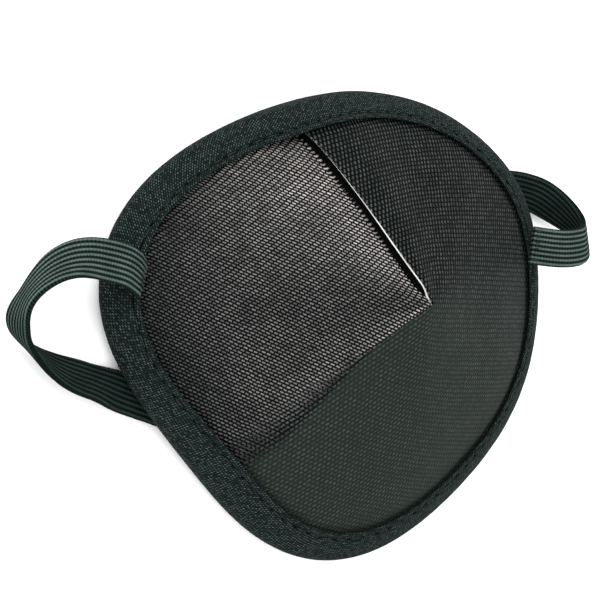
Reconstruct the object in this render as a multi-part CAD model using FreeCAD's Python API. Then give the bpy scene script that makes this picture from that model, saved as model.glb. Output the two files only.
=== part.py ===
import FreeCAD, Part
import math
import os

# Eye patch with an elastic headband, lying with its dome up.
# Frame: +Z up and out of the dome, +X from one end of the headband to the other, +Y to the brow
# edge. The origin is under the middle of the bound rim, on the surface that the rim stands on.

V = FreeCAD.Vector
UP = V(0, 0, 1)
BROW = V(0, 1, 0)
TILTED = V(0, 1, -0.35)

doc = FreeCAD.newDocument("eye_patch")
os.makedirs("parts", exist_ok=True)

# ---------------------------------------------------------------- driving dimensions, mm and degrees
DIMENSIONS = (
    ("apex_x", 1.8), ("apex_y", 3.3), ("dome_height", 26.2),
    # rim outline seen from the apex: a mean radius and five waves round it
    ("rim_mean", 36.59),
    ("rim_cos_one", -1.80), ("rim_sin_one", -0.75),
    ("rim_cos_two", -1.67), ("rim_sin_two", 0.45),
    ("rim_cos_three", -1.33), ("rim_sin_three", 1.01),
    ("rim_cos_four", 0.86), ("rim_sin_four", 0.47),
    ("rim_cos_five", -0.17), ("rim_sin_five", -0.40),
    # laminate
    ("satin_thickness", 0.40), ("board_thickness", 0.90), ("lining_thickness", 0.35),
    ("layer_gap", 0.05), ("relief_radius", 0.30),
    # dart
    ("dart_angle", -24.0), ("dart_lap_angle", 9.0), ("dart_slit", 0.06), ("crease_angle", -130.0),
    # edge binding
    ("binding_thickness", 0.50), ("binding_width", 4.4), ("binding_inner_width", 4.0),
    ("binding_gap", 0.08), ("edge_inset", 0.80), ("rest_rise", 0.10),
    # where the headband passes under the rim
    ("pass_lift", 2.0), ("pass_left_angle", -111.0), ("pass_right_angle", 61.5), ("pass_spread", 20.0),
    # thread
    ("thread_diameter", 0.30), ("stitch_length", 1.9), ("stitch_pitch", 2.6), ("stitch_inset", 3.5),
    # headband elastic
    ("elastic_width", 6.0), ("elastic_thickness", 1.10), ("cover_wall", 0.25), ("elastic_margin", 0.35),
    ("strand_thickness", 0.50), ("strand_gap", 0.12),
)
STRANDS = 7
TACK_STITCHES = 6

sheet = doc.addObject("Spreadsheet::Sheet", "dimensions")
for row, (name, value) in enumerate(DIMENSIONS, 1):
    sheet.set(f"A{row}", name)
    sheet.set(f"B{row}", str(value))
    sheet.setAlias(f"B{row}", name)
doc.recompute()


def size(name):
    """One driving dimension, read from the spreadsheet."""
    return float(sheet.get(name))


# ---------------------------------------------------------------- dome
APEX = V(size("apex_x"), size("apex_y"), 0)
DART = math.radians(size("dart_angle"))
LAP = math.radians(size("dart_lap_angle"))
CREASE = math.radians(size("crease_angle"))
TURN = 2 * math.pi
LAMINATE = (size("satin_thickness") + size("board_thickness") + size("lining_thickness")
            + 2 * size("layer_gap"))
WAVES = ("one", "two", "three", "four", "five")
SHOULDER = 3.2  # how late the dome steepens towards its rim
CREASE_DRIFT = math.radians(8)


def smooth(x):
    """0 below 0, 1 above 1 and an even S between them."""
    x = min(max(x, 0.0), 1.0)
    return x * x * (3 - 2 * x)


def wrap(angle):
    """The same direction, between half a turn either way of straight ahead."""
    return (angle + math.pi) % TURN - math.pi


def hump(angle, centre, spread):
    """A rise of 1 at centre that dies away over about twice the spread."""
    return math.exp(-(wrap(angle - centre) / spread) ** 2)


def rim_radius(angle):
    """Apex to the outermost fold of the binding, seen from above. 0 is the brow and +90 degrees is +X."""
    radius = size("rim_mean")
    for number, word in enumerate(WAVES, 1):
        radius += size(f"rim_cos_{word}") * math.cos(number * angle)
        radius += size(f"rim_sin_{word}") * math.sin(number * angle)
    return radius


def fall(angle):
    """How straight the dome falls from the apex in one direction: 1 is a straight cone and less is
    a shoulder. The flat between dart and crease falls straightest, and the crease is its ridge."""
    middle = DART - wrap(DART - CREASE) / 2
    half = abs(wrap(DART - CREASE)) / 2
    off = abs(wrap(angle - middle))
    flat = 0.98 - 0.26 * (off / half) ** 2
    if off <= half:
        return flat
    return 0.72 + 0.10 * smooth((off - half) / math.radians(45))


def pass_lift(angle):
    spread = math.radians(size("pass_spread"))
    left = hump(angle, math.radians(size("pass_left_angle")), spread)
    right = hump(angle, math.radians(size("pass_right_angle")), spread)
    return size("pass_lift") * (left + right)


def rim_height(angle):
    """Height of the dome's outer surface at the laminate's edge: the laminate and the binding's lower
    leg, both on the slope, fill the space between it and the surface that the rim stands on."""
    straight = fall(angle + CREASE_DRIFT)
    slope = 0.88 * size("dome_height") * (straight + SHOULDER * (1 - straight)) / rim_radius(angle)
    leg = size("binding_gap") + size("binding_thickness")
    return (LAMINATE + leg) * math.hypot(1, slope) + size("rest_rise")


def dome(angle, radius):
    """Height of the dome's outer surface, before the dart's two edges part."""
    share = radius / (rim_radius(angle) - size("edge_inset"))
    straight = fall(angle + CREASE_DRIFT * share)
    profile = 1 - straight * share - (1 - straight) * share ** SHOULDER
    foot = rim_height(angle) * smooth(share)
    return foot + (size("dome_height") - foot) * profile + pass_lift(angle) * share ** 3


def depth(angle, radius):
    """Vertical depth of a millimetre of laminate on the slope there."""
    step = 0.2
    slope = (dome(angle, radius + step) - dome(angle, radius - step)) / (2 * step)
    return math.hypot(1, slope)


LAP_RISE = LAMINATE * 1.38 + 0.15
LAP_REACH = math.radians(55)
LAP_REACH_AT_RIM = math.radians(30)


def part_of_lap(turned, radius):
    """How far one place of the laminate stands off the dome, turned being its angle past the dart's
    upper edge. The upper edge stands up, and the lower one dips under it; at the rim, which stays
    level below, the upper edge takes the whole step."""
    share = radius / rim_radius(DART + turned)
    near_apex = smooth(share / 0.10)
    under = 0.5 * (1 - smooth(share))
    reach = LAP_REACH + (LAP_REACH_AT_RIM - LAP_REACH) * smooth(share)
    upper = (1 - under) * (1 - smooth((turned - LAP) / reach))
    lower = under * smooth((turned - TURN + reach) / reach)
    return LAP_RISE * near_apex * (upper - lower)


def on_dome(angle, radius, height):
    return V(APEX.x + radius * math.sin(angle), APEX.y + radius * math.cos(angle), height)


# ---------------------------------------------------------------- spline patches
def clamped(count, degree):
    """Knots and multiplicities of an open uniform spline that ends on its first and last poles."""
    spans = count - degree
    return list(range(spans + 1)), [degree + 1] + [1] * (spans - 1) + [degree + 1]


def ring(count):
    """Knots and multiplicities of a closed uniform spline."""
    return list(range(count + 1)), [1] * (count + 1)


def patch(poles, degrees=(3, 3), closed=(False, False)):
    """A spline surface on a net of poles."""
    (u_knots, u_mults), (v_knots, v_mults) = [
        ring(count) if loop else clamped(count, degree)
        for count, degree, loop in zip((len(poles), len(poles[0])), degrees, closed)
    ]
    surface = Part.BSplineSurface()
    surface.buildFromPolesMultsKnots(
        poles, u_mults, v_mults, u_knots, v_knots, closed[0], closed[1], degrees[0], degrees[1]
    )
    return surface.toShape()


def closed_solid(faces):
    shell = Part.Shell(faces)
    shell.sewShape()
    solid = Part.Solid(shell)
    if solid.Volume < 0:
        solid.reverse()
    return solid


COLUMNS = 73
RINGS = 15


def laminate_layer(top_depth, bottom_depth):
    """One layer of the laminate, from the dart's upper edge once round to the lapped edge below it."""
    relief = size("relief_radius")

    def net(layer_depth):
        poles = []
        for column in range(COLUMNS):
            line = []
            for step in range(RINGS):
                share = step / (RINGS - 1)
                lap = LAP * smooth((share - 0.12) / 0.5)
                slit = size("dart_slit") / (relief + 36 * share)
                turned = (TURN - slit + lap) * column / (COLUMNS - 1)
                angle = DART + turned
                radius = relief + share * (rim_radius(angle) - size("edge_inset") - relief)
                height = dome(angle, radius) + part_of_lap(turned, radius)
                line.append(on_dome(angle, radius, height - layer_depth * depth(angle, radius)))
            poles.append(line)
        return poles

    top, bottom = net(top_depth), net(bottom_depth)
    walls = [
        patch([[a, b] for a, b in zip(top[end], bottom[end])], (3, 1)) for end in (0, -1)
    ]
    rims = [
        patch([[a[end], b[end]] for a, b in zip(top, bottom)], (3, 1)) for end in (0, -1)
    ]
    return closed_solid([patch(top), patch(bottom)] + walls + rims)


# ---------------------------------------------------------------- edge binding
DRAPE = math.radians(14)


def binding_faces(angle, radius):
    """Heights of the laminate's highest and lowest faces at one place, as the binding drapes them:
    it runs smoothly over the step that the dart's lap makes."""
    turned = (angle - DART) % TURN
    base = dome(angle, radius)
    over = part_of_lap(turned, radius)
    step = part_of_lap(0, radius) - part_of_lap(TURN, radius)
    high = base + over + step * smooth((turned - TURN + DRAPE) / DRAPE)
    low = base + over - min(step, over) * (1 - smooth((turned - LAP) / DRAPE))
    return high, low - LAMINATE * depth(angle, radius)


def binding_section(angle):
    """Poles of the folded tape's outer and inner skins in one section, both from the edge on the
    face round the fold to the edge under the lining."""
    gap, tape = size("binding_gap"), size("binding_thickness")
    face, back, inset = size("binding_width"), size("binding_inner_width"), size("edge_inset")
    rim = rim_radius(angle)
    slope = depth(angle, rim - inset)

    def leg(inset_from_rim, side, rise):
        radius = rim - inset_from_rim
        high, low = binding_faces(angle, min(radius, rim - inset))
        return on_dome(angle, radius, high + rise * slope if side > 0 else low - rise * slope)

    def fold(inset_from_rim, share):
        high, low = binding_faces(angle, rim - inset)
        return on_dome(angle, rim - inset_from_rim, low + (high - low) * share)

    def legs(side, width, rise):
        return [leg(width * reach, side, rise) for reach in (1.0, 0.75, 0.5, 0.3)]

    outer = [leg(face, 1, gap), leg(face + 0.08, 1, gap + 0.6 * tape)]
    outer += legs(1, face, gap + tape)
    outer += [leg(0.45, 1, gap + 0.55 * tape), fold(0.02, 0.78), fold(0.0, 0.40)]
    outer += [leg(0.12, -1, 0.0), leg(0.55, -1, gap + 0.85 * tape)]
    outer += legs(-1, back, gap + tape)[::-1]
    outer += [leg(back + 0.08, -1, gap + 0.6 * tape), leg(back, -1, gap)]
    inner = legs(1, face, gap) + [fold(0.5, 0.9), fold(0.45, 0.5), fold(0.5, 0.1)]
    inner += legs(-1, back, gap)[::-1]
    return outer, inner


BINDING_COLUMNS = 96


def binding():
    sections = [binding_section(DART + TURN * k / BINDING_COLUMNS) for k in range(BINDING_COLUMNS)]
    skins = [patch([section[side] for section in sections], (3, 3), (True, False)) for side in (0, 1)]
    return closed_solid(skins)


# ---------------------------------------------------------------- headband route
# Route of the elastic from its left seam to its right one, and which way its width lies there: along
# the brow at both seams and under the rim, and upright in the left lobe's bend and inside the dome.
# Where nothing is stated, it is on its way from one to the other.
ROUTE = (
    (V(-34.9, 8.0, 7.1), BROW),
    (V(-37.0, 8.6, 8.4), BROW),
    (V(-40.8, 9.4, 9.0), BROW),
    (V(-46.0, 10.0, 9.6), None),
    (V(-50.8, 8.4, 9.8), None),
    (V(-54.0, 4.6, 8.0), UP),
    (V(-54.6, 0.0, 5.6), UP),
    (V(-51.4, -3.6, 3.8), None),
    (V(-46.6, -6.4, 3.0), None),
    (V(-41.6, -8.2, 2.0), TILTED),
    (V(-34.6, -10.2, 0.8), BROW),
    (V(-27.0, -12.4, 1.6), BROW),
    (V(-20.4, -15.2, 3.2), None),
    (V(-13.0, -17.6, 3.9), None),
    (V(-4.5, -18.6, 3.7), UP),
    (V(6.0, -18.4, 3.7), UP),
    (V(16.5, -18.0, 3.7), UP),
    (V(21.5, -13.0, 3.7), UP),
    (V(21.5, -6.0, 3.7), UP),
    (V(16.5, -1.0, 3.7), UP),
    (V(5.5, -1.8, 3.7), UP),
    (V(-6.0, -1.8, 3.7), UP),
    (V(-17.0, -1.0, 3.7), UP),
    (V(-22.0, 4.0, 3.7), UP),
    (V(-22.0, 11.0, 3.7), UP),
    (V(-17.0, 16.0, 3.7), UP),
    (V(-7.0, 16.2, 3.7), UP),
    (V(3.4, 17.2, 3.7), UP),
    (V(11.8, 18.8, 3.7), UP),
    (V(18.4, 20.2, 3.2), None),
    (V(24.4, 21.2, 1.7), BROW),
    (V(31.6, 21.9, 1.1), BROW),
    (V(37.6, 21.3, 1.7), BROW),
    (V(42.7, 18.7, 3.4), None),
    (V(45.9, 15.2, 5.6), None),
    (V(44.7, 12.9, 8.4), BROW),
    (V(40.7, 12.0, 9.6), BROW),
    (V(36.8, 12.1, 9.2), BROW),
    (V(34.4, 12.4, 8.1), BROW),
)


def across(direction, wanted):
    """The wanted width direction, turned square to the run."""
    square = wanted - direction * wanted.dot(direction)
    return square.normalize()


def corner(before, here, after):
    """The tangent arc at one point of the route: where it starts and ends, its centre, axis and turn."""
    inward, onward = (here - before), (after - here)
    shorter = min(inward.Length, onward.Length)
    inward, onward = V(inward).normalize(), V(onward).normalize()
    turn = inward.getAngle(onward)
    reach = 0.45 * shorter
    radius = reach / math.tan(turn / 2)
    axis = inward.cross(onward).normalize()
    start, end = here - inward * reach, here + onward * reach
    centre = start + axis.cross(inward) * radius
    return {"start": start, "end": end, "centre": centre, "axis": axis, "turn": turn, "radius": radius}


def turned_about(axis, angle, direction):
    return FreeCAD.Rotation(axis, math.degrees(angle)).multVec(direction)


def roll_to(direction, width, wanted):
    """Angle about the direction from one width to another. A band turned half over lies the same, so
    it is at most a quarter turn either way."""
    angle = math.atan2(width.cross(wanted).dot(direction), width.dot(wanted))
    return (angle + math.pi / 2) % math.pi - math.pi / 2


def along(start, bend, reach):
    """The station that a band comes to, untwisted, a distance along a run or some way round an arc."""
    place, direction, width = start
    if bend is None:
        return place + direction * reach, direction, width
    turned = turned_about(bend["axis"], reach / bend["radius"], place - bend["centre"])
    return (
        bend["centre"] + turned,
        turned_about(bend["axis"], reach / bend["radius"], direction),
        turned_about(bend["axis"], reach / bend["radius"], width),
    )


STEP_ANGLE = math.radians(12)


def lay_out(route):
    """The band as straight runs and arcs in turn, each a list of stations (place, direction, width
    direction) with the arc that it follows. Between two places where its width is stated it twists
    evenly; where it doesn't twist, an arc needs its first and last stations only."""
    points = [point for point, _ in route]
    corners = [corner(*points[k - 1:k + 2]) for k in range(1, len(points) - 1)]
    starts = [points[0]] + [bend["end"] for bend in corners]
    ends = [bend["start"] for bend in corners] + [points[-1]]
    first_direction = V(points[1] - points[0]).normalize()
    here = (points[0], first_direction, across(first_direction, route[0][1]))

    spans, travelled, stated = [], 0.0, [(0.0, 0.0)]
    for k, (start, end) in enumerate(zip(starts, ends)):
        lengths = [((end - start).Length, None)]
        if k < len(corners):
            lengths.append((corners[k]["radius"] * corners[k]["turn"], corners[k]))
        for length, bend in lengths:
            spans.append((here, bend, length, travelled))
            here = along(here, bend, length)
            travelled += length
            if bend is None and route[k + 1][1]:
                _, direction, width = here
                last_roll = stated[-1][1]
                width = turned_about(direction, last_roll, width)
                more = roll_to(direction, width, across(direction, route[k + 1][1]))
                stated.append((travelled, last_roll + more))

    def roll_at(place):
        for (before, first), (after, last) in zip(stated, stated[1:]):
            if place <= after:
                return first + (last - first) * (place - before) / (after - before)
        return stated[-1][1]

    pieces = []
    for start, bend, length, before in spans:
        twist = abs(roll_at(before + length) - roll_at(before))
        steps = 1
        if twist > 1e-6:
            turn = bend["turn"] if bend else 0
            steps = max(2, math.ceil(max(twist, turn) / STEP_ANGLE))
        stations = []
        for step in range(steps + 1):
            reach = length * step / steps
            place, direction, width = along(start, bend, reach)
            roll = roll_at(before + reach)
            stations.append((place, direction, turned_about(direction, roll, width)))
        pieces.append((stations, bend, length))
    return pieces, corners


def outline(station, low, high, bottom, top):
    """A rectangle of the band's section: low to high across its width, bottom to top through it."""
    place, direction, width = station
    through = direction.cross(width)
    corners = [(low, bottom), (high, bottom), (high, top), (low, top)]
    points = [place + width * a + through * b for a, b in corners]
    return Part.makePolygon(points + points[:1])


def band_sides(pieces, rectangle):
    faces = []
    for stations, bend, _ in pieces:
        outlines = [outline(station, *rectangle) for station in stations]
        if bend and len(stations) == 2:
            turn = math.degrees(bend["turn"])
            faces += outlines[0].revolve(bend["centre"], bend["axis"], turn).Faces
        else:
            faces += Part.makeLoft(outlines, False, True).Faces
    return faces


def band(pieces, rectangle, hollow=None):
    """The band with one rectangular section along its whole route, or the tube left round a hollow."""
    faces = band_sides(pieces, rectangle)
    if hollow:
        faces += band_sides(pieces, hollow)
    for station in (pieces[0][0][0], pieces[-1][0][-1]):
        end = Part.Face(outline(station, *rectangle))
        if hollow:
            end = end.cut(Part.Face(outline(station, *hollow))).Faces[0]
        faces.append(end)
    return closed_solid(faces)


# ---------------------------------------------------------------- thread
def stitch(start, end, radius):
    """One stitch lying between two places, with tapered ends."""
    length = (end - start).Length
    half = [(-radius, 0), (-radius, 0.45 * radius), (-0.5 * radius, radius)]
    profile = half + [(length - along, out) for along, out in reversed(half)]
    wire = Part.makePolygon([V(out, 0, along) for along, out in profile + profile[:1]])
    body = Part.Face(wire).revolve(V(), UP, 360)
    body.Placement = FreeCAD.Placement(start, FreeCAD.Rotation(UP, end - start))
    return body


def stitch_row(side):
    """Stitches round the binding, on its face (side 1) or under it (side -1), except where the
    elastic's ends are sewn down."""
    radius = size("thread_diameter") / 2
    clear = size("binding_gap") + size("binding_thickness") + 0.02
    girth = TURN * size("rim_mean")
    count = round(girth / size("stitch_pitch"))
    half = TURN * size("stitch_length") / girth / 2
    solids = []

    def place(angle):
        at = rim_radius(angle) - size("stitch_inset")
        heights = binding_faces(angle, at)
        rise = clear * depth(angle, at) + radius * depth(angle, at)
        return on_dome(angle, at, heights[0] + rise if side > 0 else heights[1] - rise)

    for k in range(count):
        angle = TURN * k / count
        middle = place(angle)
        near_seam = min(middle.distanceToPoint(end[0]) for end in (ROUTE[0], ROUTE[-1]))
        if side < 0 or near_seam > 5.2:
            solids.append(stitch(place(angle - half), place(angle + half), radius))
    return solids


def tack(seam, onward):
    """Stitches over the elastic's end, side by side across its width."""
    radius = size("thread_diameter") / 2
    direction = V(onward - seam).normalize()
    width = across(direction, BROW)
    normal = direction.cross(width)
    if normal.z < 0:
        normal = normal * -1
    lift = normal * (size("elastic_thickness") / 2 + radius + 0.02)
    solids = []
    for k in range(TACK_STITCHES):
        share = (k + 0.5) / TACK_STITCHES - 0.5
        foot = seam + width * (share * (size("elastic_width") - 0.6)) + lift + direction * 0.35
        solids.append(stitch(foot, foot + direction * 0.9, radius))
    return solids


# ---------------------------------------------------------------- build
def add_part(name, shape):
    piece = doc.addObject("Part::Feature", name)
    piece.Label = name
    piece.Shape = shape
    piece.Placement = FreeCAD.Placement()
    return piece


satin_under = size("satin_thickness")
board_top = satin_under + size("layer_gap")
board_under = board_top + size("board_thickness")
lining_top = board_under + size("layer_gap")

pieces, corners = lay_out(ROUTE)
half_width, half_thickness = size("elastic_width") / 2, size("elastic_thickness") / 2
inside_width = half_width - size("elastic_margin")
inside_thickness = half_thickness - size("cover_wall")
cover = band(
    pieces,
    (-half_width, half_width, -half_thickness, half_thickness),
    (-inside_width, inside_width, -inside_thickness, inside_thickness),
)
strand_pitch = 2 * inside_width / STRANDS
strand_half = (strand_pitch - size("strand_gap")) / 2
strands = []
for number in range(STRANDS):
    middle = (number - (STRANDS - 1) / 2) * strand_pitch
    thick = size("strand_thickness") / 2
    strands.append(band(pieces, (middle - strand_half, middle + strand_half, -thick, thick)))

parts = [
    add_part("satin_face", laminate_layer(0, satin_under)),
    add_part("stiffener_board", laminate_layer(board_top, board_under)),
    add_part("lining", laminate_layer(lining_top, LAMINATE)),
    add_part("edge_binding", binding()),
    add_part("binding_needle_thread", Part.makeCompound(stitch_row(1))),
    add_part("binding_bobbin_thread", Part.makeCompound(stitch_row(-1))),
    add_part("headband_cover", cover),
    add_part("headband_rubber_strands", Part.makeCompound(strands)),
    add_part("left_tack_thread", Part.makeCompound(tack(ROUTE[0][0], ROUTE[1][0]))),
    add_part("right_tack_thread", Part.makeCompound(tack(ROUTE[-1][0], ROUTE[-2][0]))),
]
doc.recompute()

# ---------------------------------------------------------------- checks and export
length = sum(piece[2] for piece in pieces)
section_area = 4 * (half_width * half_thickness - inside_width * inside_thickness)
print(f"headband length {length:.1f} mm, arc radii "
      + " ".join(f"{bend['radius']:.1f}" for bend in corners))
print(f"cover volume {cover.Volume:.1f} mm3, section times length {section_area * length:.1f} mm3")

for piece in parts:
    shape = piece.Shape
    if "Invalid" in piece.State or "Error" in piece.State:
        raise RuntimeError(f"{piece.Label} did not recompute")
    if shape.isNull() or not shape.isValid() or not shape.Solids:
        raise RuntimeError(f"{piece.Label} has no valid solid")
    box = shape.BoundBox
    print(f"{piece.Label}: {len(shape.Solids)} solids, {shape.Volume:.1f} mm3, "
          f"x {box.XMin:.1f}..{box.XMax:.1f} y {box.YMin:.1f}..{box.YMax:.1f} "
          f"z {box.ZMin:.2f}..{box.ZMax:.2f}")
    shape.exportStep(f"parts/{piece.Label}.step")
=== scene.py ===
import math

import bpy
from mathutils import Matrix, Vector, noise


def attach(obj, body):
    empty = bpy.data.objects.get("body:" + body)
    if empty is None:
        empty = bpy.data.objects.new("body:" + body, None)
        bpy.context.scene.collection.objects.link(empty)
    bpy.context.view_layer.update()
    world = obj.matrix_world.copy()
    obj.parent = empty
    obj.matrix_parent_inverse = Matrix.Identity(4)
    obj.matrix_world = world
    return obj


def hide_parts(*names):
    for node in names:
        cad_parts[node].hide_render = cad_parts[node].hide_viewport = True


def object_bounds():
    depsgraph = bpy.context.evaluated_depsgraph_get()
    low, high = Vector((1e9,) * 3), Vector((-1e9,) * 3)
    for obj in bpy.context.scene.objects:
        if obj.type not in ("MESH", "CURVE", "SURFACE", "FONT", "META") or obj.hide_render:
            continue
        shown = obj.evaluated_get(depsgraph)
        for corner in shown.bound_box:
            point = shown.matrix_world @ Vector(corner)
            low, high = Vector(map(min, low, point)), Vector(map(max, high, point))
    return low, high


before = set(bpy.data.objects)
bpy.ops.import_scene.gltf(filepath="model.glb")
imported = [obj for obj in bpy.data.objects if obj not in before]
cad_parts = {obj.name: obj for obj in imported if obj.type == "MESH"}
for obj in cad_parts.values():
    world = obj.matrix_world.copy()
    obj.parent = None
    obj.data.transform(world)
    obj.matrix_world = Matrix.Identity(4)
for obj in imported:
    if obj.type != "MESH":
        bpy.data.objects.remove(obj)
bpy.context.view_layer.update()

# Eye patch: a laminated satin dome with one lapped dart, a bound rim, and an elastic headband whose
# spare length lies folded on edge inside the dome. Lengths here are in millimetres, and MM makes
# them metres.
MM = 0.001
TURN = 2 * math.pi
UP, BROW = Vector((0, 0, 1)), Vector((0, 1, 0))
TILTED, LEANING = Vector((0, 1, -0.5)), Vector((0, 1, 0.45))
scene = bpy.context.scene

# ---------------------------------------------------------------- the dome, as the CAD has it
APEX = Vector((1.8, 3.3, 0))
DOME_HEIGHT, RIM_MEAN, EDGE_INSET, RELIEF = 26.2, 36.59, 0.80, 0.30
RIM_WAVES = ((-1.80, -0.75), (-1.67, 0.45), (-1.33, 1.01), (0.86, 0.47), (-0.17, -0.40))
SATIN, BOARD, LINING, LAYER_GAP = 0.40, 0.90, 0.35, 0.05
LAMINATE = SATIN + BOARD + LINING + 2 * LAYER_GAP
DART, LAP, CREASE = (math.radians(a) for a in (-24.0, 9.0, -130.0))
CREASE_DRIFT, SHOULDER = math.radians(8), 3.2
PASSES, PASS_LIFT, PASS_SPREAD = (math.radians(-111.0), math.radians(61.5)), 2.0, math.radians(20)
BINDING_GAP, BINDING_TAPE, BINDING_WIDTH, BINDING_BACK = 0.08, 0.50, 4.4, 4.0
REST_RISE = 0.10
LAP_RISE = LAMINATE * 1.38 + 0.15
LAP_REACH, LAP_REACH_AT_RIM, DRAPE = (math.radians(a) for a in (55, 30, 14))


def smooth(x):
    x = min(max(x, 0.0), 1.0)
    return x * x * (3 - 2 * x)


def mix(a, b, t):
    return a + (b - a) * t


def wrap(angle):
    return (angle + math.pi) % TURN - math.pi


def hump(x, centre, spread):
    return math.exp(-((x - centre) / spread) ** 2)


def rim_radius(angle):
    radius = RIM_MEAN
    for number, (cos, sin) in enumerate(RIM_WAVES, 1):
        radius += cos * math.cos(number * angle) + sin * math.sin(number * angle)
    return radius


def fall(angle):
    half = abs(wrap(DART - CREASE)) / 2
    off = abs(wrap(angle - DART + wrap(DART - CREASE) / 2))
    if off <= half:
        return 0.98 - 0.26 * (off / half) ** 2
    return 0.72 + 0.10 * smooth((off - half) / math.radians(45))


def rim_height(angle):
    straight = fall(angle + CREASE_DRIFT)
    slope = 0.88 * DOME_HEIGHT * (straight + SHOULDER * (1 - straight)) / rim_radius(angle)
    return (LAMINATE + BINDING_GAP + BINDING_TAPE) * math.hypot(1, slope) + REST_RISE


def dome(angle, radius):
    share = radius / (rim_radius(angle) - EDGE_INSET)
    straight = fall(angle + CREASE_DRIFT * share)
    profile = 1 - straight * share - (1 - straight) * share ** SHOULDER
    foot = rim_height(angle) * smooth(share)
    lift = sum(PASS_LIFT * hump(wrap(angle - at), 0, PASS_SPREAD) for at in PASSES)
    return foot + (DOME_HEIGHT - foot) * profile + lift * share ** 3


def depth(angle, radius):
    step = 0.2
    return math.hypot(1, (dome(angle, radius + step) - dome(angle, radius - step)) / (2 * step))


def part_of_lap(turned, radius):
    share = radius / rim_radius(DART + turned)
    under = 0.5 * (1 - smooth(share))
    reach = mix(LAP_REACH, LAP_REACH_AT_RIM, smooth(share))
    upper = (1 - under) * (1 - smooth((turned - LAP) / reach))
    lower = under * smooth((turned - TURN + reach) / reach)
    return LAP_RISE * smooth(share / 0.10) * (upper - lower)


def on_dome(angle, radius, height):
    return Vector((APEX.x + radius * math.sin(angle), APEX.y + radius * math.cos(angle), height))


def binding_faces(angle, radius):
    turned = (angle - DART) % TURN
    base, over = dome(angle, radius), part_of_lap(turned, radius)
    step = part_of_lap(0, radius) - part_of_lap(TURN, radius)
    high = base + over + step * smooth((turned - TURN + DRAPE) / DRAPE)
    low = base + over - min(step, over) * (1 - smooth((turned - LAP) / DRAPE))
    return high, low - LAMINATE * depth(angle, radius)


# ---------------------------------------------------------------- meshes
def make_piece(name, points, faces, material, nodes, attributes=None):
    """A mesh piece of the object from points in mm, with per-vertex attributes for its material."""
    mesh = bpy.data.meshes.new(name)
    mesh.from_pydata([tuple(p * MM) for p in points], [], faces)
    mesh.validate()
    for key, values in (attributes or {}).items():
        vector = isinstance(values[0], (tuple, Vector))
        layer = mesh.attributes.new(key, "FLOAT_VECTOR" if vector else "FLOAT", "POINT")
        if vector:
            layer.data.foreach_set("vector", [c for v in values for c in v])
        else:
            layer.data.foreach_set("value", values)
    mesh.polygons.foreach_set("use_smooth", [True] * len(mesh.polygons))
    mesh.materials.append(material)
    piece = bpy.data.objects.new(name, mesh)
    scene.collection.objects.link(piece)
    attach(piece, "root")
    if nodes:
        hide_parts(*nodes)
    return piece


def grid_faces(rows, columns, close_rows=False, close_columns=False, offset=0):
    faces = []
    for i in range(rows if close_rows else rows - 1):
        for j in range(columns if close_columns else columns - 1):
            a, b = offset + i * columns, offset + (i + 1) % rows * columns
            k = (j + 1) % columns
            faces.append((a + j, b + j, b + k, a + k))
    return faces


# ---------------------------------------------------------------- node materials
class Shader:
    """A node material, with short calls for the nodes that the fabrics share."""

    def __init__(self, name):
        self.material = bpy.data.materials.new(name)
        self.material.use_nodes = True
        self.tree = self.material.node_tree
        self.bsdf = self.tree.nodes["Principled BSDF"]

    def node(self, kind, inputs=(), **settings):
        made = self.tree.nodes.new(kind)
        for key, value in settings.items():
            setattr(made, key, value)
        for key, value in dict(inputs).items():
            self.put(made.inputs[key], value)
        return made

    def put(self, socket, value):
        if isinstance(value, bpy.types.NodeSocket):
            self.tree.links.new(value, socket)
        else:
            socket.default_value = value

    def maths(self, operation, *values, clamp=False):
        made = self.node("ShaderNodeMath", operation=operation, use_clamp=clamp)
        for socket, value in zip(made.inputs, values):
            self.put(socket, value)
        return made.outputs[0]

    def off_middle(self, value):
        """How far a value is from the middle of its own whole step."""
        return self.maths("ABSOLUTE", self.maths("SUBTRACT", self.maths("FRACT", value), 0.5))

    def vectors(self, operation, first, second):
        made = self.node("ShaderNodeVectorMath", {0: first, 1: second}, operation=operation)
        return made.outputs[0]

    def attribute(self, name, output):
        return self.node("ShaderNodeAttribute", attribute_name=name).outputs[output]

    def noise(self, vector, scale, detail=3.0, roughness=0.5):
        made = self.node(
            "ShaderNodeTexNoise",
            {"Vector": vector, "Scale": scale, "Detail": detail, "Roughness": roughness},
        )
        return made.outputs["Fac"]

    def steps(self, value, low, high, to_low=0.0, to_high=1.0):
        made = self.node(
            "ShaderNodeMapRange",
            {
                "Value": value, "From Min": low, "From Max": high,
                "To Min": to_low, "To Max": to_high,
            },
            interpolation_type="SMOOTHSTEP",
        )
        return made.outputs["Result"]

    def blend(self, factor, first, second):
        made = self.node("ShaderNodeMix", data_type="RGBA")
        self.put(made.inputs[0], factor)
        self.put(made.inputs[6], first)
        self.put(made.inputs[7], second)
        return made.outputs[2]

    def place(self):
        return self.node("ShaderNodeTexCoord").outputs["Object"]

    def bump(self, height, distance, strength=1.0, normal=None):
        made = self.node(
            "ShaderNodeBump", {"Height": height, "Distance": distance, "Strength": strength}
        )
        if normal is not None:
            self.put(made.inputs["Normal"], normal)
        return made.outputs["Normal"]

    def finish(self, color, roughness, normal, **plain):
        self.put(self.bsdf.inputs["Base Color"], color)
        self.put(self.bsdf.inputs["Roughness"], roughness)
        self.put(self.bsdf.inputs["Normal"], normal)
        for key, value in plain.items():
            self.bsdf.inputs[key.replace("_", " ")].default_value = value
        return self.material


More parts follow.
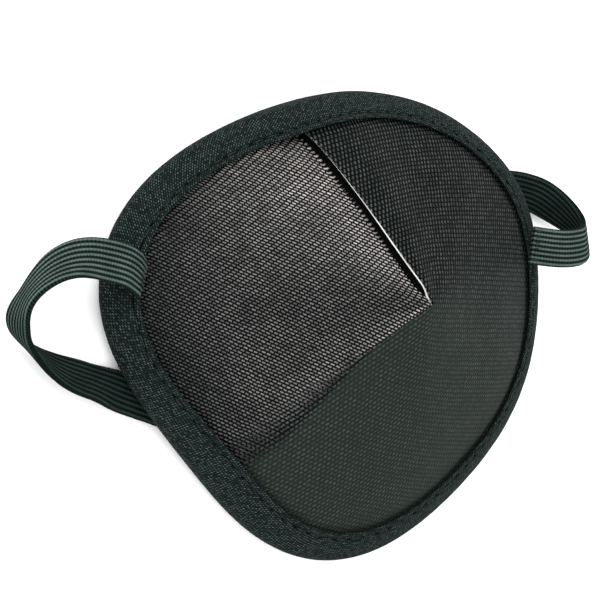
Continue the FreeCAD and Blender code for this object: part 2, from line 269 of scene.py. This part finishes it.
def woven_floats(shader, cloth, pitch, gap, shift, length):
    """Short floats of yarn in rows over a dark ground: how much float shows at a place, and a number
    that differs from float to float. Floats of one length lie pitch apart along a row, rows lie gap
    apart, and each is set on by shift from the last, all in mm on the cloth."""
    axes = shader.node("ShaderNodeSeparateXYZ", {0: cloth})
    over = shader.maths("DIVIDE", axes.outputs[1], gap)
    row = shader.maths("FLOOR", over)
    along = shader.maths("DIVIDE", axes.outputs[0], pitch)
    along = shader.maths("SUBTRACT", along, shader.maths("MULTIPLY", row, shift / pitch))
    number = shader.maths("FLOOR", along)
    from_middle = shader.off_middle(along)
    from_row = shader.off_middle(over)
    half = 0.5 * length / pitch
    body = shader.maths(
        "MULTIPLY",
        shader.steps(from_middle, half - 0.10, half + 0.08, 1.0, 0.0),
        shader.steps(from_row, 0.05, 0.34, 1.0, 0.0),
    )
    each = shader.node(
        "ShaderNodeTexWhiteNoise",
        {"Vector": shader.node("ShaderNodeCombineXYZ", {0: number, 1: row}).outputs[0]},
        noise_dimensions="2D",
    ).outputs["Value"]
    return body, each


def satin_material():
    """Black satin: short floats over a dark ground, their brightness a painted sheen. The attributes
    cloth and bias hold the place on the cloth in mm on the two sides of the crease, side says which
    of them counts, and a third how strongly the floats catch the light: a painted sheen set by the
    place on the dome, which also sets the tone of the ground."""
    shader = Shader("black_satin")
    # the first attribute read here is the painted sheen, set by place on the dome
    painted_sheen, side = shader.attribute("painted_sheen", "Fac"), shader.attribute("side", "Fac")
    cloth, bias = shader.attribute("cloth", "Vector"), shader.attribute("bias", "Vector")
    wander = shader.node("ShaderNodeTexNoise", {"Vector": cloth, "Scale": 0.5, "Detail": 2.0})
    pull = shader.vectors("SUBTRACT", wander.outputs["Color"], (0.5, 0.5, 0.5))
    pull = shader.node("ShaderNodeVectorMath", {0: pull, 3: 0.35}, operation="SCALE").outputs[0]
    floats, each = woven_floats(
        shader, shader.vectors("ADD", cloth, pull), pitch=0.71, gap=0.44, shift=0.217, length=0.50
    )
    slanted, other = woven_floats(
        shader, shader.vectors("ADD", bias, pull), pitch=0.70, gap=0.54, shift=0.42, length=0.46
    )
    yarn = shader.noise(cloth, 7.0, 2.0)
    patchy = shader.noise(cloth, 0.16, 2.0)
    shine = shader.maths("MULTIPLY", floats, shader.steps(each, 0.0, 1.0, 0.62, 1.15))
    faint = shader.maths("MULTIPLY", slanted, shader.steps(other, 0.0, 1.0, 0.50, 1.05))
    shine = shader.maths(
        "ADD", shader.maths("MULTIPLY", shine, side),
        shader.maths("MULTIPLY", faint, shader.maths("SUBTRACT", 1.0, side)),
    )
    shine = shader.maths("MULTIPLY", shine, shader.steps(yarn, 0.25, 0.75, 0.75, 1.1))
    # painted sheen: the floats brighter or dimmer by their place on the dome, in random patches
    level = shader.maths("MULTIPLY", painted_sheen, shader.steps(patchy, 0.3, 0.7, 0.85, 1.15))
    shine = shader.maths("MULTIPLY", shine, level, clamp=True)
    # the ground and float tones follow the painted sheen: beyond the crease the ground is lighter
    # where it is weak, and the floats are brighter where it is strong
    dull = shader.blend(
        shader.steps(painted_sheen, 0.11, 0.19), (0.0098, 0.0138, 0.0112, 1), (0.0006, 0.0016, 0.0014, 1)
    )
    dark = shader.blend(painted_sheen, (0.0004, 0.0008, 0.0008, 1), (0.0030, 0.0028, 0.0027, 1))
    bright = shader.blend(painted_sheen, (0.235, 0.255, 0.245, 1), (0.40, 0.375, 0.365, 1))
    color = shader.blend(shine, shader.blend(side, dull, dark), bright)
    raised = shader.blend(side, slanted, floats)
    height = shader.maths("ADD", raised, shader.maths("MULTIPLY", yarn, 0.25))
    return shader.finish(
        color, 0.55, shader.bump(height, 0.00006, 0.5),
        Specular_IOR_Level=0.015, Sheen_Weight=0.004, Sheen_Roughness=0.4,
    )


def binding_material():
    """Dark green-black bias tape: a close weave of fine mottled yarns with a few lighter nubs. The
    attribute groove is painted shade: 1 in the groove that its seam pulls in and at its inner edge,
    where it darkens the colour."""
    shader = Shader("bias_tape")
    cloth = shader.attribute("cloth", "Vector")
    groove = shader.attribute("groove", "Fac")
    floats, each = woven_floats(shader, cloth, pitch=0.56, gap=0.30, shift=0.28, length=0.34)
    mottle = shader.noise(cloth, 2.4, 4.0, 0.65)
    fleck = shader.steps(shader.noise(cloth, 4.2, 2.0, 0.6), 0.62, 0.74)
    light = shader.maths("MULTIPLY", floats, shader.steps(each, 0.0, 1.0, 0.10, 1.0))
    light = shader.maths("MULTIPLY", light, shader.steps(mottle, 0.36, 0.68, 0.35, 1.0))
    light = shader.maths("ADD", light, shader.maths("MULTIPLY", fleck, 0.40), clamp=True)
    # painted shade: the light yarns dimmed and the ground darkened in the seam's groove and at the
    # inner edge
    light = shader.maths("MULTIPLY", light, shader.maths("SUBTRACT", 1.0, groove), clamp=True)
    ground = shader.blend(groove, (0.0022, 0.0056, 0.0050, 1), (0.0006, 0.0010, 0.0009, 1))
    color = shader.blend(light, ground, (0.100, 0.120, 0.115, 1))
    height = shader.maths("ADD", floats, shader.maths("MULTIPLY", mottle, 1.2))
    return shader.finish(
        color, 0.85, shader.bump(height, 0.00010, 0.8),
        Specular_IOR_Level=0.02, Sheen_Weight=0.01, Sheen_Roughness=0.5,
        Sheen_Tint=(0.55, 0.75, 0.70, 1.0),
    )


def elastic_material():
    """Braided elastic: a painted highlight as a thin light line on each rib, painted shade in the
    grooves between, and fine yarns crossing both. The attribute cloth holds mm along and across the
    band, rib its height from 0 to 1, and a third attribute darkens the band as painted shade where
    it runs under the dome."""
    shader = Shader("braided_elastic")
    cloth = shader.attribute("cloth", "Vector")
    rib = shader.attribute("rib", "Fac")
    along = shader.node("ShaderNodeSeparateXYZ", {0: cloth}).outputs[0]
    yarn_turn, lean = 12.6, 1.6  # radians a mm, for two yarns a mm, and how far a rib leans them
    phase = shader.maths(
        "ADD", shader.maths("MULTIPLY", along, yarn_turn), shader.maths("MULTIPLY", rib, lean)
    )
    yarns = shader.steps(shader.maths("SINE", phase), -0.9, 0.9)
    fibre = shader.noise(cloth, 5.5, 3.0, 0.6)
    wear = shader.noise(cloth, 0.30, 3.0)
    # painted highlight on each rib's crest and painted shade in the grooves, by rib height
    lit = shader.maths(
        "MULTIPLY", shader.steps(rib, 0.70, 1.0), shader.steps(fibre, 0.25, 0.75, 0.55, 1.2)
    )
    lit = shader.maths("MULTIPLY", lit, shader.steps(yarns, 0.0, 1.0, 0.75, 1.0))
    lit = shader.maths("ADD", lit, shader.maths("MULTIPLY", yarns, 0.10))
    lit = shader.maths("MULTIPLY", lit, shader.steps(wear, 0.3, 0.7, 0.8, 1.15))
    # painted shade: the light lines dimmed where the band runs under the dome and its rim
    lit = shader.maths("MULTIPLY", lit, shader.attribute("painted_light_level", "Fac"), clamp=True)
    color = shader.blend(lit, (0.0010, 0.0038, 0.0030, 1), (0.072, 0.102, 0.092, 1))
    height = shader.maths("ADD", shader.maths("MULTIPLY", yarns, 0.5), fibre)
    return shader.finish(
        color, 0.78, shader.bump(height, 0.00007, 0.7),
        Specular_IOR_Level=0.02, Sheen_Weight=0.01, Sheen_Roughness=0.45,
    )


def board_material():
    """Pale pressed felt, seen where the dart's edge is cut."""
    shader = Shader("felt_board")
    place = shader.place()
    fibre = shader.noise(place, 2600.0, 4.0, 0.65)
    dirt = shader.noise(place, 350.0, 2.0)
    color = shader.blend(
        shader.steps(dirt, 0.35, 0.7), (0.62, 0.61, 0.59, 1), (0.44, 0.43, 0.41, 1)
    )
    color = shader.blend(shader.steps(fibre, 0.4, 0.75, 0.0, 0.35), color, (0.30, 0.29, 0.28, 1))
    return shader.finish(color, 0.9, shader.bump(fibre, 0.00008, 0.7), Specular_IOR_Level=0.2)


def lining_material():
    """Matt dark cotton: a close plain weave, a little faded where a face rubs it."""
    shader = Shader("cotton_lining")
    cloth = shader.attribute("cloth", "Vector")
    weft, warp = (
        shader.node(
            "ShaderNodeTexWave", {"Vector": cloth, "Scale": 0.62, "Distortion": 1.2},
            bands_direction=direction,
        ).outputs["Fac"]
        for direction in "XY"
    )
    weave = shader.maths("MULTIPLY", weft, warp)
    rubbed = shader.noise(cloth, 0.09, 3.0)
    tone = shader.blend(
        shader.steps(rubbed, 0.35, 0.7), (0.010, 0.012, 0.012, 1), (0.020, 0.023, 0.023, 1)
    )
    color = shader.blend(shader.steps(weave, 0.1, 0.8, 0.0, 0.6), tone, (0.050, 0.055, 0.054, 1))
    return shader.finish(
        color, 0.88, shader.bump(weave, 0.00010, 0.8),
        Specular_IOR_Level=0.1, Sheen_Weight=0.05, Sheen_Roughness=0.5,
    )


def thread_material():
    """Black polyester thread: two plies twisted round each other."""
    shader = Shader("polyester_thread")
    place = shader.place()
    ply = shader.node(
        "ShaderNodeTexWave", {"Vector": place, "Scale": 900.0, "Distortion": 2.0},
        bands_direction="DIAGONAL",
    ).outputs["Fac"]
    color = shader.blend(ply, (0.004, 0.006, 0.006, 1), (0.022, 0.027, 0.025, 1))
    return shader.finish(color, 0.6, shader.bump(ply, 0.00005, 0.7), Specular_IOR_Level=0.12)


def floor_material():
    """Seamless pale paper."""
    shader = Shader("pale_floor")
    tooth = shader.noise(shader.place(), 900.0, 3.0)
    color = shader.blend(tooth, (0.93, 0.93, 0.93, 1), (0.95, 0.95, 0.95, 1))
    return shader.finish(color, 0.95, shader.bump(tooth, 0.00002, 0.2), Specular_IOR_Level=0.1)


SATIN_MAT, BINDING_MAT, ELASTIC_MAT = satin_material(), binding_material(), elastic_material()
BOARD_MAT, LINING_MAT, THREAD_MAT = board_material(), lining_material(), thread_material()

# ---------------------------------------------------------------- laminate
COLUMNS, RINGS = 420, 96
FLAT_ROWS, BIAS_ROWS = math.radians(-25.5), math.radians(71)
THIN_SATIN = 0.14  # the satin's thickness where it is cut along the dart
DART_SLIT = 0.06  # gap between the dart's two edges before they lap
UNDER_LAP = 0.02  # the last of the turn, in radians, where one place on the cloth stands for all


def crease_side(angle, radius):
    """1 on the flat side of the crease and 0 beyond it: a crisp edge near the apex that opens into a
    soft one further out."""
    past = wrap(angle - CREASE + CREASE_DRIFT * radius / rim_radius(angle)) * radius
    width = mix(0.35, 7.0, smooth((radius - 6) / 22))
    beside_dart = smooth((wrap(DART - angle) + 0.001) / 0.002)
    return smooth(past / width + 0.5) * beside_dart


def rounded_dome(angle, radius):
    """The dome with its crease rounded, further out more than near the apex, but not at the rim."""
    share = radius / rim_radius(angle)
    near = hump(wrap(angle - CREASE + CREASE_DRIFT * share), 0, math.radians(14))
    spread = math.radians(7) * smooth((radius - 4) / 14) * near * (1 - smooth((share - 0.75) / 0.2))
    return sum(dome(angle + spread * k, radius) for k in (-1, -0.5, 0, 0.5, 1)) / 5


def shell_height(turned, angle, radius):
    """The dome with the small unevenness of laminated cloth: a dip where the binding's seam pulls it
    down, and slow waves."""
    height = rounded_dome(angle, radius) + part_of_lap(turned, radius)
    inset = rim_radius(angle) - radius
    height -= 0.42 * hump(inset, BINDING_WIDTH + 0.30, 0.65)
    at = on_dome(angle, radius, 0)
    height += 0.22 * noise.noise(at * 0.09) * smooth(radius / 6)
    return height + 0.05 * noise.noise(at * 0.35) * smooth(radius / 4)


def cloth_place(angle, radius):
    """Place on the satin between dart and crease, in mm along and across its rows of floats."""
    x, y = radius * math.sin(angle), radius * math.cos(angle)
    cos, sin = math.cos(FLAT_ROWS), math.sin(FLAT_ROWS)
    return (x * cos + y * sin, y * cos - x * sin, 0.0)


def bias_place(angle, radius):
    """Place on the satin beyond the crease, in mm: the cloth lies on the bias there and turns a
    little as it goes round the cone."""
    opened = math.radians(30) + 0.85 * (wrap(angle - math.radians(80)) + math.radians(50))
    x, y = radius * math.sin(opened), radius * math.cos(opened)
    cos, sin = math.cos(BIAS_ROWS), math.sin(BIAS_ROWS)
    return (x * cos + y * sin, y * cos - x * sin, 0.0)


def painted_sheen_here(angle, radius):
    """Painted sheen: how brightly the floats show, most beside the dart and along the crease on the
    flat side and less towards the rim, with a painted highlight on the crease's ridge near the apex;
    beyond the crease a little more towards the brow.
    """
    share = radius / rim_radius(angle)
    past_crease = wrap(angle - CREASE + CREASE_DRIFT * share)
    to_dart = wrap(DART - angle)
    beside_dart = 0.60 * math.exp(-(to_dart / math.radians(34)) ** 2)
    beside_crease = 0.26 * math.exp(-(past_crease / math.radians(20)) ** 2)
    # painted highlight along the crease's ridge near the apex
    fold = 0.5 * math.exp(-(past_crease * radius / 0.5) ** 2) * (1 - smooth((radius - 4) / 7))
    plain = 0.36 - 0.19 * smooth((share - 0.6) / 0.3)
    flat = plain + beside_dart + beside_crease * (1 - 0.8 * share) + fold
    beyond = 0.11 + 0.08 * (0.5 + 0.5 * math.cos(angle))
    return mix(beyond, flat, crease_side(angle, radius))


def at_cut_edge(level, turned):
    """Depth of a face of the laminate: along the dart's upper edge the satin thins out over the
    board, so that more of the board's cut edge shows."""
    if level > SATIN + LAYER_GAP:
        return level
    return level * mix(THIN_SATIN / SATIN, 1.0, smooth(turned / math.radians(5)))


def laminate(name, top, bottom, material, nodes, with_shadow_strip=False):
    """A layer of the laminate between two depths: both faces, its rim, and the dart's two edges."""
    points, places = [], []
    for level in (top, bottom):
        for column in range(COLUMNS):
            for ring in range(RINGS):
                share = ring / (RINGS - 1)
                lap = LAP * smooth((share - 0.12) / 0.5)
                slit = DART_SLIT / (RELIEF + 36 * share)
                turned = (TURN - slit + lap) * column / (COLUMNS - 1)
                angle = DART + turned
                radius = RELIEF + share * (rim_radius(angle) - EDGE_INSET - RELIEF)
                height = shell_height(turned, angle, radius)
                height -= at_cut_edge(level, turned) * depth(angle, radius)
                points.append(on_dome(angle, radius, height))
                under_lap = turned > TURN - UNDER_LAP
                places.append((DART - UNDER_LAP if under_lap else angle, radius))
    count = COLUMNS * RINGS
    faces = [tuple(reversed(f)) for f in grid_faces(COLUMNS, RINGS)]
    faces += grid_faces(COLUMNS, RINGS, offset=count)
    border = [c * RINGS for c in range(COLUMNS)]
    border += [(COLUMNS - 1) * RINGS + r for r in range(1, RINGS)]
    border += [c * RINGS + RINGS - 1 for c in range(COLUMNS - 2, -1, -1)]
    border += [r for r in range(RINGS - 2, 0, -1)]
    for a, b in zip(border, border[1:] + border[:1]):
        faces.append((a, b, b + count, a + count))
    # painted sheen at each place, read by the satin
    painted_sheen = [painted_sheen_here(*place) for place in places]
    side = [crease_side(*place) for place in places]
    # the satin layer gets a near-black strip of painted shadow along the dart's upper edge
    if with_shadow_strip:
        shadow_strip_over_edge(points, faces, places, painted_sheen, side)
    attributes = {
        "cloth": [cloth_place(*place) for place in places],
        "bias": [bias_place(*place) for place in places],
        "painted_sheen": painted_sheen, "side": side,
    }
    return make_piece(name, points, faces, material, nodes, attributes)


def shadow_strip_over_edge(points, faces, places, painted_sheen, side):
    """A satin strip over the dart's upper edge, near black with no sheen: a painted shadow on the
    lower part of that edge. Above it the board's cut edge shows as a thin pale line, widest at the
    apex and gone at the rim."""
    first = len(points)
    corners = 4
    for ring in range(1, RINGS):
        share = ring / (RINGS - 1)
        radius = RELIEF + share * (rim_radius(DART) - EDGE_INSET - RELIEF)
        pale = mix(0.34, 0.03, smooth((share - 0.25) / 0.55))
        pale += 0.35 * math.exp(-(radius / 1.1) ** 2)
        top = shell_height(0, DART, radius)
        start = THIN_SATIN + pale
        for down, out in ((start, -0.02), (start, 0.07), (LAMINATE, 0.09), (LAMINATE, -0.02)):
            angle = DART - out / max(radius, 0.6)
            points.append(on_dome(angle, radius, top - down * depth(DART, radius)))
            places.append((DART, radius))
            # no painted sheen, so the strip stays near black: painted shadow
            painted_sheen.append(0.0)
            side.append(1.0)
    strip = RINGS - 1
    faces += grid_faces(strip, corners, close_columns=True, offset=first)
    faces.append(tuple(first + n for n in range(corners)))
    faces.append(tuple(first + (strip - 1) * corners + n for n in reversed(range(corners))))


board_top = SATIN + LAYER_GAP
laminate("satin_shell", 0, SATIN, SATIN_MAT, ["satin_face"], with_shadow_strip=True)
laminate("felt_board_layer", board_top, board_top + BOARD, BOARD_MAT, ["stiffener_board"])
laminate("lining_cloth", board_top + BOARD + LAYER_GAP, LAMINATE, LINING_MAT, ["lining"])


# ---------------------------------------------------------------- edge binding
GROOVE = 0.80  # where the binding's seam runs, as a share of its width
# which points of the profile lie in the seam's groove or at the inner edge, and how much painted
# shade darkens them
SHADED_POINTS = {0: 1.0, 1: 0.9, 6: 0.5, 7: 1.0, 8: 0.5}


def binding_profile(angle):
    """One section of the folded tape: over the face, round the fold and back under the lining, with
    the padded roll that the folded tape makes beside its stitches."""
    rim = rim_radius(angle)
    slope = depth(angle, rim - EDGE_INSET)
    pucker = 0.5 + 0.5 * math.sin(angle * 89)

    def leg(inset, side, rise):
        high, low = binding_faces(angle, min(rim - inset, rim - EDGE_INSET))
        return on_dome(angle, rim - inset, high + rise * slope if side > 0 else low - rise * slope)

    def fold(inset, share):
        high, low = binding_faces(angle, rim - EDGE_INSET)
        return on_dome(angle, rim - inset, mix(low, high, share))

    gap, tape = BINDING_GAP, BINDING_TAPE
    face, back = BINDING_WIDTH, BINDING_BACK
    puff = 0.16 + 0.05 * pucker
    outer = [
        leg(face - 0.05, 1, 0.02), leg(face + 0.10, 1, 0.22),
        leg(face + 0.06, 1, gap + 0.75 * tape), leg(face - 0.22, 1, gap + tape + 0.06),
    ]
    for share in (0.90, 0.86, 0.83, GROOVE, 0.77, 0.74, 0.68, 0.60, 0.50, 0.40, 0.30):
        dip = 0.26 * hump(share, GROOVE, 0.04)
        outer.append(leg(face * share, 1, gap + tape + puff * math.sin(math.pi * share) - dip))
    outer += [
        leg(0.85, 1, gap + tape + 0.02), leg(0.42, 1, gap + 0.45 * tape),
        fold(0.12, 0.88), fold(0.0, 0.60), fold(0.02, 0.34),
        leg(0.16, -1, 0.05), leg(0.5, -1, gap + 0.7 * tape), leg(0.95, -1, gap + tape),
    ]
    outer += [
        leg(back * s, -1, gap + tape + 0.08 * math.sin(math.pi * s)) for s in (0.4, 0.6, 0.8)
    ]
    outer += [
        leg(back - 0.12, -1, gap + 0.95 * tape), leg(back + 0.06, -1, gap + 0.6 * tape),
        leg(back, -1, gap),
    ]
    inner = [
        leg(back * 0.6, -1, gap), leg(0.95, -1, gap), fold(0.55, 0.5),
        leg(0.95, 1, gap), leg(face * 0.6, 1, gap),
    ]
    return outer + inner


def binding():
    sections, points, cloth, groove = 720, [], [], []
    travelled, last = 0.0, None
    for k in range(sections):
        angle = DART + TURN * k / sections
        profile = binding_profile(angle)
        if last:
            travelled += (profile[8] - last).length
        last = profile[8]
        across = 0.0
        for number, point in enumerate(profile):
            if number:
                across += (point - profile[number - 1]).length
            wobble = 0.06 * noise.noise(point * 0.5)
            points.append(point + UP * wobble)
            cloth.append((travelled * 0.75 + across * 0.65, across * 0.75 - travelled * 0.65, 0.0))
            # how much painted shade each point of the section gets
            groove.append(SHADED_POINTS.get(number, 0.0))
    rows = len(profile)
    faces = grid_faces(sections, rows, close_rows=True, close_columns=True)
    make_piece("binding_tape", points, faces, BINDING_MAT, ["edge_binding"],
               {"cloth": cloth, "groove": groove})


binding()

# ---------------------------------------------------------------- headband
# The elastic's route, as the CAD has it apart from points near its ends and beside the rim that are
# moved by up to 1.3 mm, and which way its width lies: None is on its way between two.
ROUTE = (
    ((-35.4, 6.9, 6.9), BROW), ((-37.2, 8.3, 8.4), BROW), ((-40.8, 9.4, 9.0), BROW),
    ((-46.0, 10.0, 9.6), None), ((-50.8, 8.4, 9.8), None), ((-54.0, 4.6, 8.0), UP),
    ((-54.6, 0.0, 5.6), UP), ((-51.4, -3.4, 4.2), None), ((-46.6, -6.2, 3.6), None),
    ((-41.6, -7.6, 2.3), TILTED), ((-34.6, -9.8, 0.9), BROW), ((-27.0, -12.4, 1.6), BROW),
    ((-20.4, -15.2, 3.2), None), ((-13.0, -17.6, 3.9), None), ((-4.5, -18.6, 3.7), UP),
    ((6.0, -18.4, 3.7), UP), ((16.5, -18.0, 3.7), UP), ((21.5, -13.0, 3.7), UP),
    ((21.5, -6.0, 3.7), UP), ((16.5, -1.0, 3.7), UP), ((5.5, -1.8, 3.7), UP),
    ((-6.0, -1.8, 3.7), UP), ((-17.0, -1.0, 3.7), UP), ((-22.0, 4.0, 3.7), UP),
    ((-22.0, 11.0, 3.7), UP), ((-17.0, 16.0, 3.7), UP), ((-7.0, 16.2, 3.7), UP),
    ((3.4, 17.2, 3.7), UP), ((11.8, 18.8, 3.7), UP), ((18.4, 20.2, 3.2), None),
    ((24.4, 21.2, 1.7), BROW), ((31.6, 21.9, 1.1), BROW), ((38.2, 21.5, 2.2), LEANING),
    ((42.7, 18.7, 3.4), None), ((45.9, 15.2, 5.6), None), ((44.7, 12.9, 8.4), BROW),
    ((40.7, 12.0, 9.6), BROW), ((36.6, 12.1, 9.2), BROW), ((33.7, 12.6, 8.1), BROW),
)
ELASTIC_WIDTH, ELASTIC_THICKNESS, RIBS = 6.0, 1.10, 8
SAME_PLACE = 0.01


def smooth_line(points):
    """Points along the NURBS spline that has the route as its control points."""
    curve = bpy.data.curves.new("headband_line", "CURVE")
    curve.dimensions = "3D"
    curve.resolution_u = 16
    spline = curve.splines.new("NURBS")
    spline.points.add(len(points) - 1)
    for at, point in zip(spline.points, points):
        at.co = (*(Vector(point) * MM), 1.0)
    spline.order_u = 3
    spline.use_endpoint_u = True
    holder = bpy.data.objects.new("headband_line", curve)
    scene.collection.objects.link(holder)
    mesh = bpy.data.meshes.new_from_object(holder)
    line = [mesh.vertices[0].co / MM]
    for vertex in mesh.vertices[1:]:
        if (vertex.co / MM - line[-1]).length > SAME_PLACE:
            line.append(vertex.co / MM)
    bpy.data.objects.remove(holder)
    bpy.data.meshes.remove(mesh)
    return line


def roll_to(direction, width, wanted):
    angle = math.atan2(width.cross(wanted).dot(direction), width.dot(wanted))
    return (angle + math.pi / 2) % math.pi - math.pi / 2


def band_frames(line, route):
    """(place, direction, width, distance) along the band. It twists evenly between the places where
    its width is stated."""
    directions = [(b - a).normalized() for a, b in zip(line, line[1:] + line[-1:])]
    directions[-1] = directions[-2]
    distances = [0.0]
    for a, b in zip(line, line[1:]):
        distances.append(distances[-1] + (b - a).length)
    width = BROW - directions[0] * BROW.dot(directions[0])
    widths = [width.normalized()]
    for a, b in zip(directions, directions[1:]):
        carried = a.rotation_difference(b) @ widths[-1]
        widths.append((carried - b * carried.dot(b)).normalized())
    stated = [(0.0, 0.0)]
    for point, wanted in route[1:]:
        if wanted is None:
            continue
        k = min(range(len(line)), key=lambda n: (line[n] - Vector(point)).length)
        direction, last_roll = directions[k], stated[-1][1]
        now = Matrix.Rotation(last_roll, 3, direction) @ widths[k]
        target = wanted - direction * wanted.dot(direction)
        if distances[k] > stated[-1][0]:
            stated.append((distances[k], last_roll + roll_to(direction, now, target)))
    frames = []
    for k, place in enumerate(line):
        roll = stated[-1][1]
        for (before, first), (after, last) in zip(stated, stated[1:]):
            if distances[k] <= after:
                roll = mix(first, last, smooth((distances[k] - before) / (after - before)))
                break
        width = Matrix.Rotation(roll, 3, directions[k]) @ widths[k]
        frames.append((place, directions[k], width, distances[k]))
    return frames


def band_section():
    """The band's section as (across, through, rib height 0 to 1), ribbed on both faces."""
    samples, half = RIBS * 6, ELASTIC_WIDTH / 2
    face = []
    for k in range(samples + 1):
        across = mix(-half, half, k / samples)
        rib = abs(math.sin(math.pi * RIBS * k / samples)) ** 0.6
        edge = math.sqrt(max(0.0, 1 - abs(across / half) ** 8))
        through = (ELASTIC_THICKNESS / 2 - 0.20 * (1 - rib)) * (0.25 + 0.75 * edge)
        face.append((across, through, rib))
    return face + [(a, -t, r) for a, t, r in reversed(face)]


def headband():
    line = smooth_line([point for point, _ in ROUTE])
    frames = band_frames(line, ROUTE)
    section = band_section()
    points, cloth, rib, opened = [], [], [], []
    for place, direction, width, distance in frames:
        through = direction.cross(width)
        past_left_bend = smooth((distance - 19) / 14)
        past_right_bend = smooth((distance - frames[-1][3] + 15) / 5)
        # Painted shade: from just past the left loop's turn to close to the right end, where the
        # band runs under the dome and its rim, its light lines are dimmed to 0.22
        painted_light_here = mix(1.0, 0.22, past_left_bend * (1 - past_right_bend))
        for across, out, height in section:
            points.append(place + width * across + through * out)
            cloth.append((distance, across, 0.0))
            rib.append(height)
            opened.append(painted_light_here)
    count = len(section)
    faces = grid_faces(len(frames), count, close_columns=True)
    half = count // 2
    for start in (0, (len(frames) - 1) * count):
        cap = [
            (start + k, start + k + 1, start + count - 2 - k, start + count - 1 - k)
            for k in range(half - 1)
        ]
        faces += cap if start else [tuple(reversed(f)) for f in cap]
    band = make_piece(
        "headband_elastic", points, faces, ELASTIC_MAT,
        ["headband_cover", "headband_rubber_strands"], {"cloth": cloth, "rib": rib, "painted_light_level": opened},
    )
    return frames


frames = headband()


# ---------------------------------------------------------------- stitches
def thread_points(start, end, normal, radius, arch):
    """A stitch between two places, arched a little over the cloth."""
    rings, sides = 9, 8
    along = (end - start).normalized()
    side = along.cross(normal).normalized()
    points = []
    for k in range(rings):
        t = k / (rings - 1)
        girth = radius * max(0.25, math.sin(math.pi * mix(0.06, 0.94, t)) ** 0.4)
        centre = start.lerp(end, t) + normal * (arch * math.sin(math.pi * t))
        for n in range(sides):
            turn = TURN * n / sides
            points.append(centre + (side * math.cos(turn) + normal * math.sin(turn)) * girth)
    return points, rings, sides


def stitches(name, runs, nodes):
    radius, arch = 0.10, 0.04
    points, faces = [], []
    for start, end, normal in runs:
        offset = len(points)
        made, rings, sides = thread_points(start, end, normal, radius, arch)
        points += made
        faces += grid_faces(rings, sides, close_columns=True, offset=offset)
        faces.append(tuple(offset + n for n in range(sides)))
        faces.append(tuple(offset + (rings - 1) * sides + n for n in reversed(range(sides))))
    make_piece(name, points, faces, THREAD_MAT, nodes)


STITCH_PITCH, STITCH_LENGTH, STITCH_INSET, SUNK = 2.6, 1.9, 3.5, 0.04
SEAM_REACH = 5.2  # how near an end of the elastic hides the binding's stitches


def stitch_runs(side):
    """Stitches round the binding, over it (side 1) or under it (side -1)."""
    count = round(TURN * RIM_MEAN / STITCH_PITCH)
    half = STITCH_LENGTH / 2 / RIM_MEAN
    seams = [Vector(ROUTE[0][0]), Vector(ROUTE[-1][0])]
    runs = []

    def place(angle, above):
        at = rim_radius(angle) - STITCH_INSET
        high, low = binding_faces(angle, at)
        rise = (BINDING_GAP + BINDING_TAPE + above) * depth(angle, at)
        return on_dome(angle, at, high + rise if side > 0 else low - rise)

    for k in range(count):
        angle = TURN * k / count
        if side > 0 and min((place(angle, 0) - seam).length for seam in seams) < SEAM_REACH:
            continue
        start, end = place(angle - half, -SUNK), place(angle + half, -SUNK)
        outward = Vector((math.sin(angle), math.cos(angle), 0))
        normal = (UP + outward * 0.7 if side > 0 else -UP - outward * 0.4).normalized()
        runs.append((start, end, normal))
    return runs


stitches("needle_thread_stitches", stitch_runs(1), ["binding_needle_thread"])
stitches("bobbin_thread_stitches", stitch_runs(-1), ["binding_bobbin_thread"])


TACKS = 6


def tack_runs(end_frame):
    """Stitches side by side across one end of the elastic."""
    place, direction, width, _ = end_frame
    normal = direction.cross(width)
    if normal.z < 0:
        normal = -normal
    inward = direction if end_frame is frames[0] else -direction
    runs = []
    for k in range(TACKS):
        across = ((k + 0.5) / TACKS - 0.5) * (ELASTIC_WIDTH - 0.6)
        foot = place + width * across + normal * (ELASTIC_THICKNESS / 2 + 0.06) + inward * 0.3
        runs.append((foot, foot + inward * 0.9, normal))
    return runs


stitches("left_tack_stitches", tack_runs(frames[0]), ["left_tack_thread"])
stitches("right_tack_stitches", tack_runs(frames[-1]), ["right_tack_thread"])

# ---------------------------------------------------------------- floor, lights, camera
floor_mesh = bpy.data.meshes.new("floor")
floor_z = min(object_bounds()[0][2], 0.0)
reach = 3.0
corners = ((-reach, -reach), (reach, -reach), (reach, reach), (-reach, reach))
floor_mesh.from_pydata([(x, y, floor_z) for x, y in corners], [], [(0, 1, 2, 3)])
floor_mesh.materials.append(floor_material())
floor = bpy.data.objects.new("floor", floor_mesh)
scene.collection.objects.link(floor)

AIM = Vector((-4.417, 3.904, 0)) * MM


def area_light(name, direction, distance, size, power):
    data = bpy.data.lights.new(name, "AREA")
    data.shape = "DISK"
    data.size, data.energy = size, power
    light = bpy.data.objects.new(name, data)
    light.location = AIM + Vector(direction).normalized() * distance
    light.rotation_euler = Vector(direction).to_track_quat("Z", "Y").to_euler()
    scene.collection.objects.link(light)


area_light("key", (-0.45, 0.65, 0.80), 0.9, 0.55, 4.5)
area_light("fill", (-0.9, -0.35, 0.75), 1.0, 0.9, 1.5)
area_light("rim_light", (0.9, 0.15, 0.55), 1.0, 0.5, 1.0)

world = bpy.data.worlds.new("studio")
world.use_nodes = True
background = world.node_tree.nodes["Background"]
background.inputs["Color"].default_value = (1.0, 1.0, 1.0, 1.0)
background.inputs["Strength"].default_value = 1.75
scene.world = world
scene.view_settings.view_transform = "Standard"

YAW, CAMERA_DISTANCE, LENS = math.radians(32), 0.350, 137.8
backward = Vector((-math.sin(YAW), 0, math.cos(YAW)))
rightward = Vector((math.cos(YAW), 0, math.sin(YAW)))
camera_data = bpy.data.cameras.new("camera")
camera_data.sensor_width = 36.0
camera_data.lens = LENS
camera = bpy.data.objects.new("camera", camera_data)
turn = Matrix((rightward, BROW, backward)).transposed().to_4x4()
camera.matrix_world = Matrix.Translation(AIM + backward * CAMERA_DISTANCE) @ turn
scene.collection.objects.link(camera)
scene.camera = camera
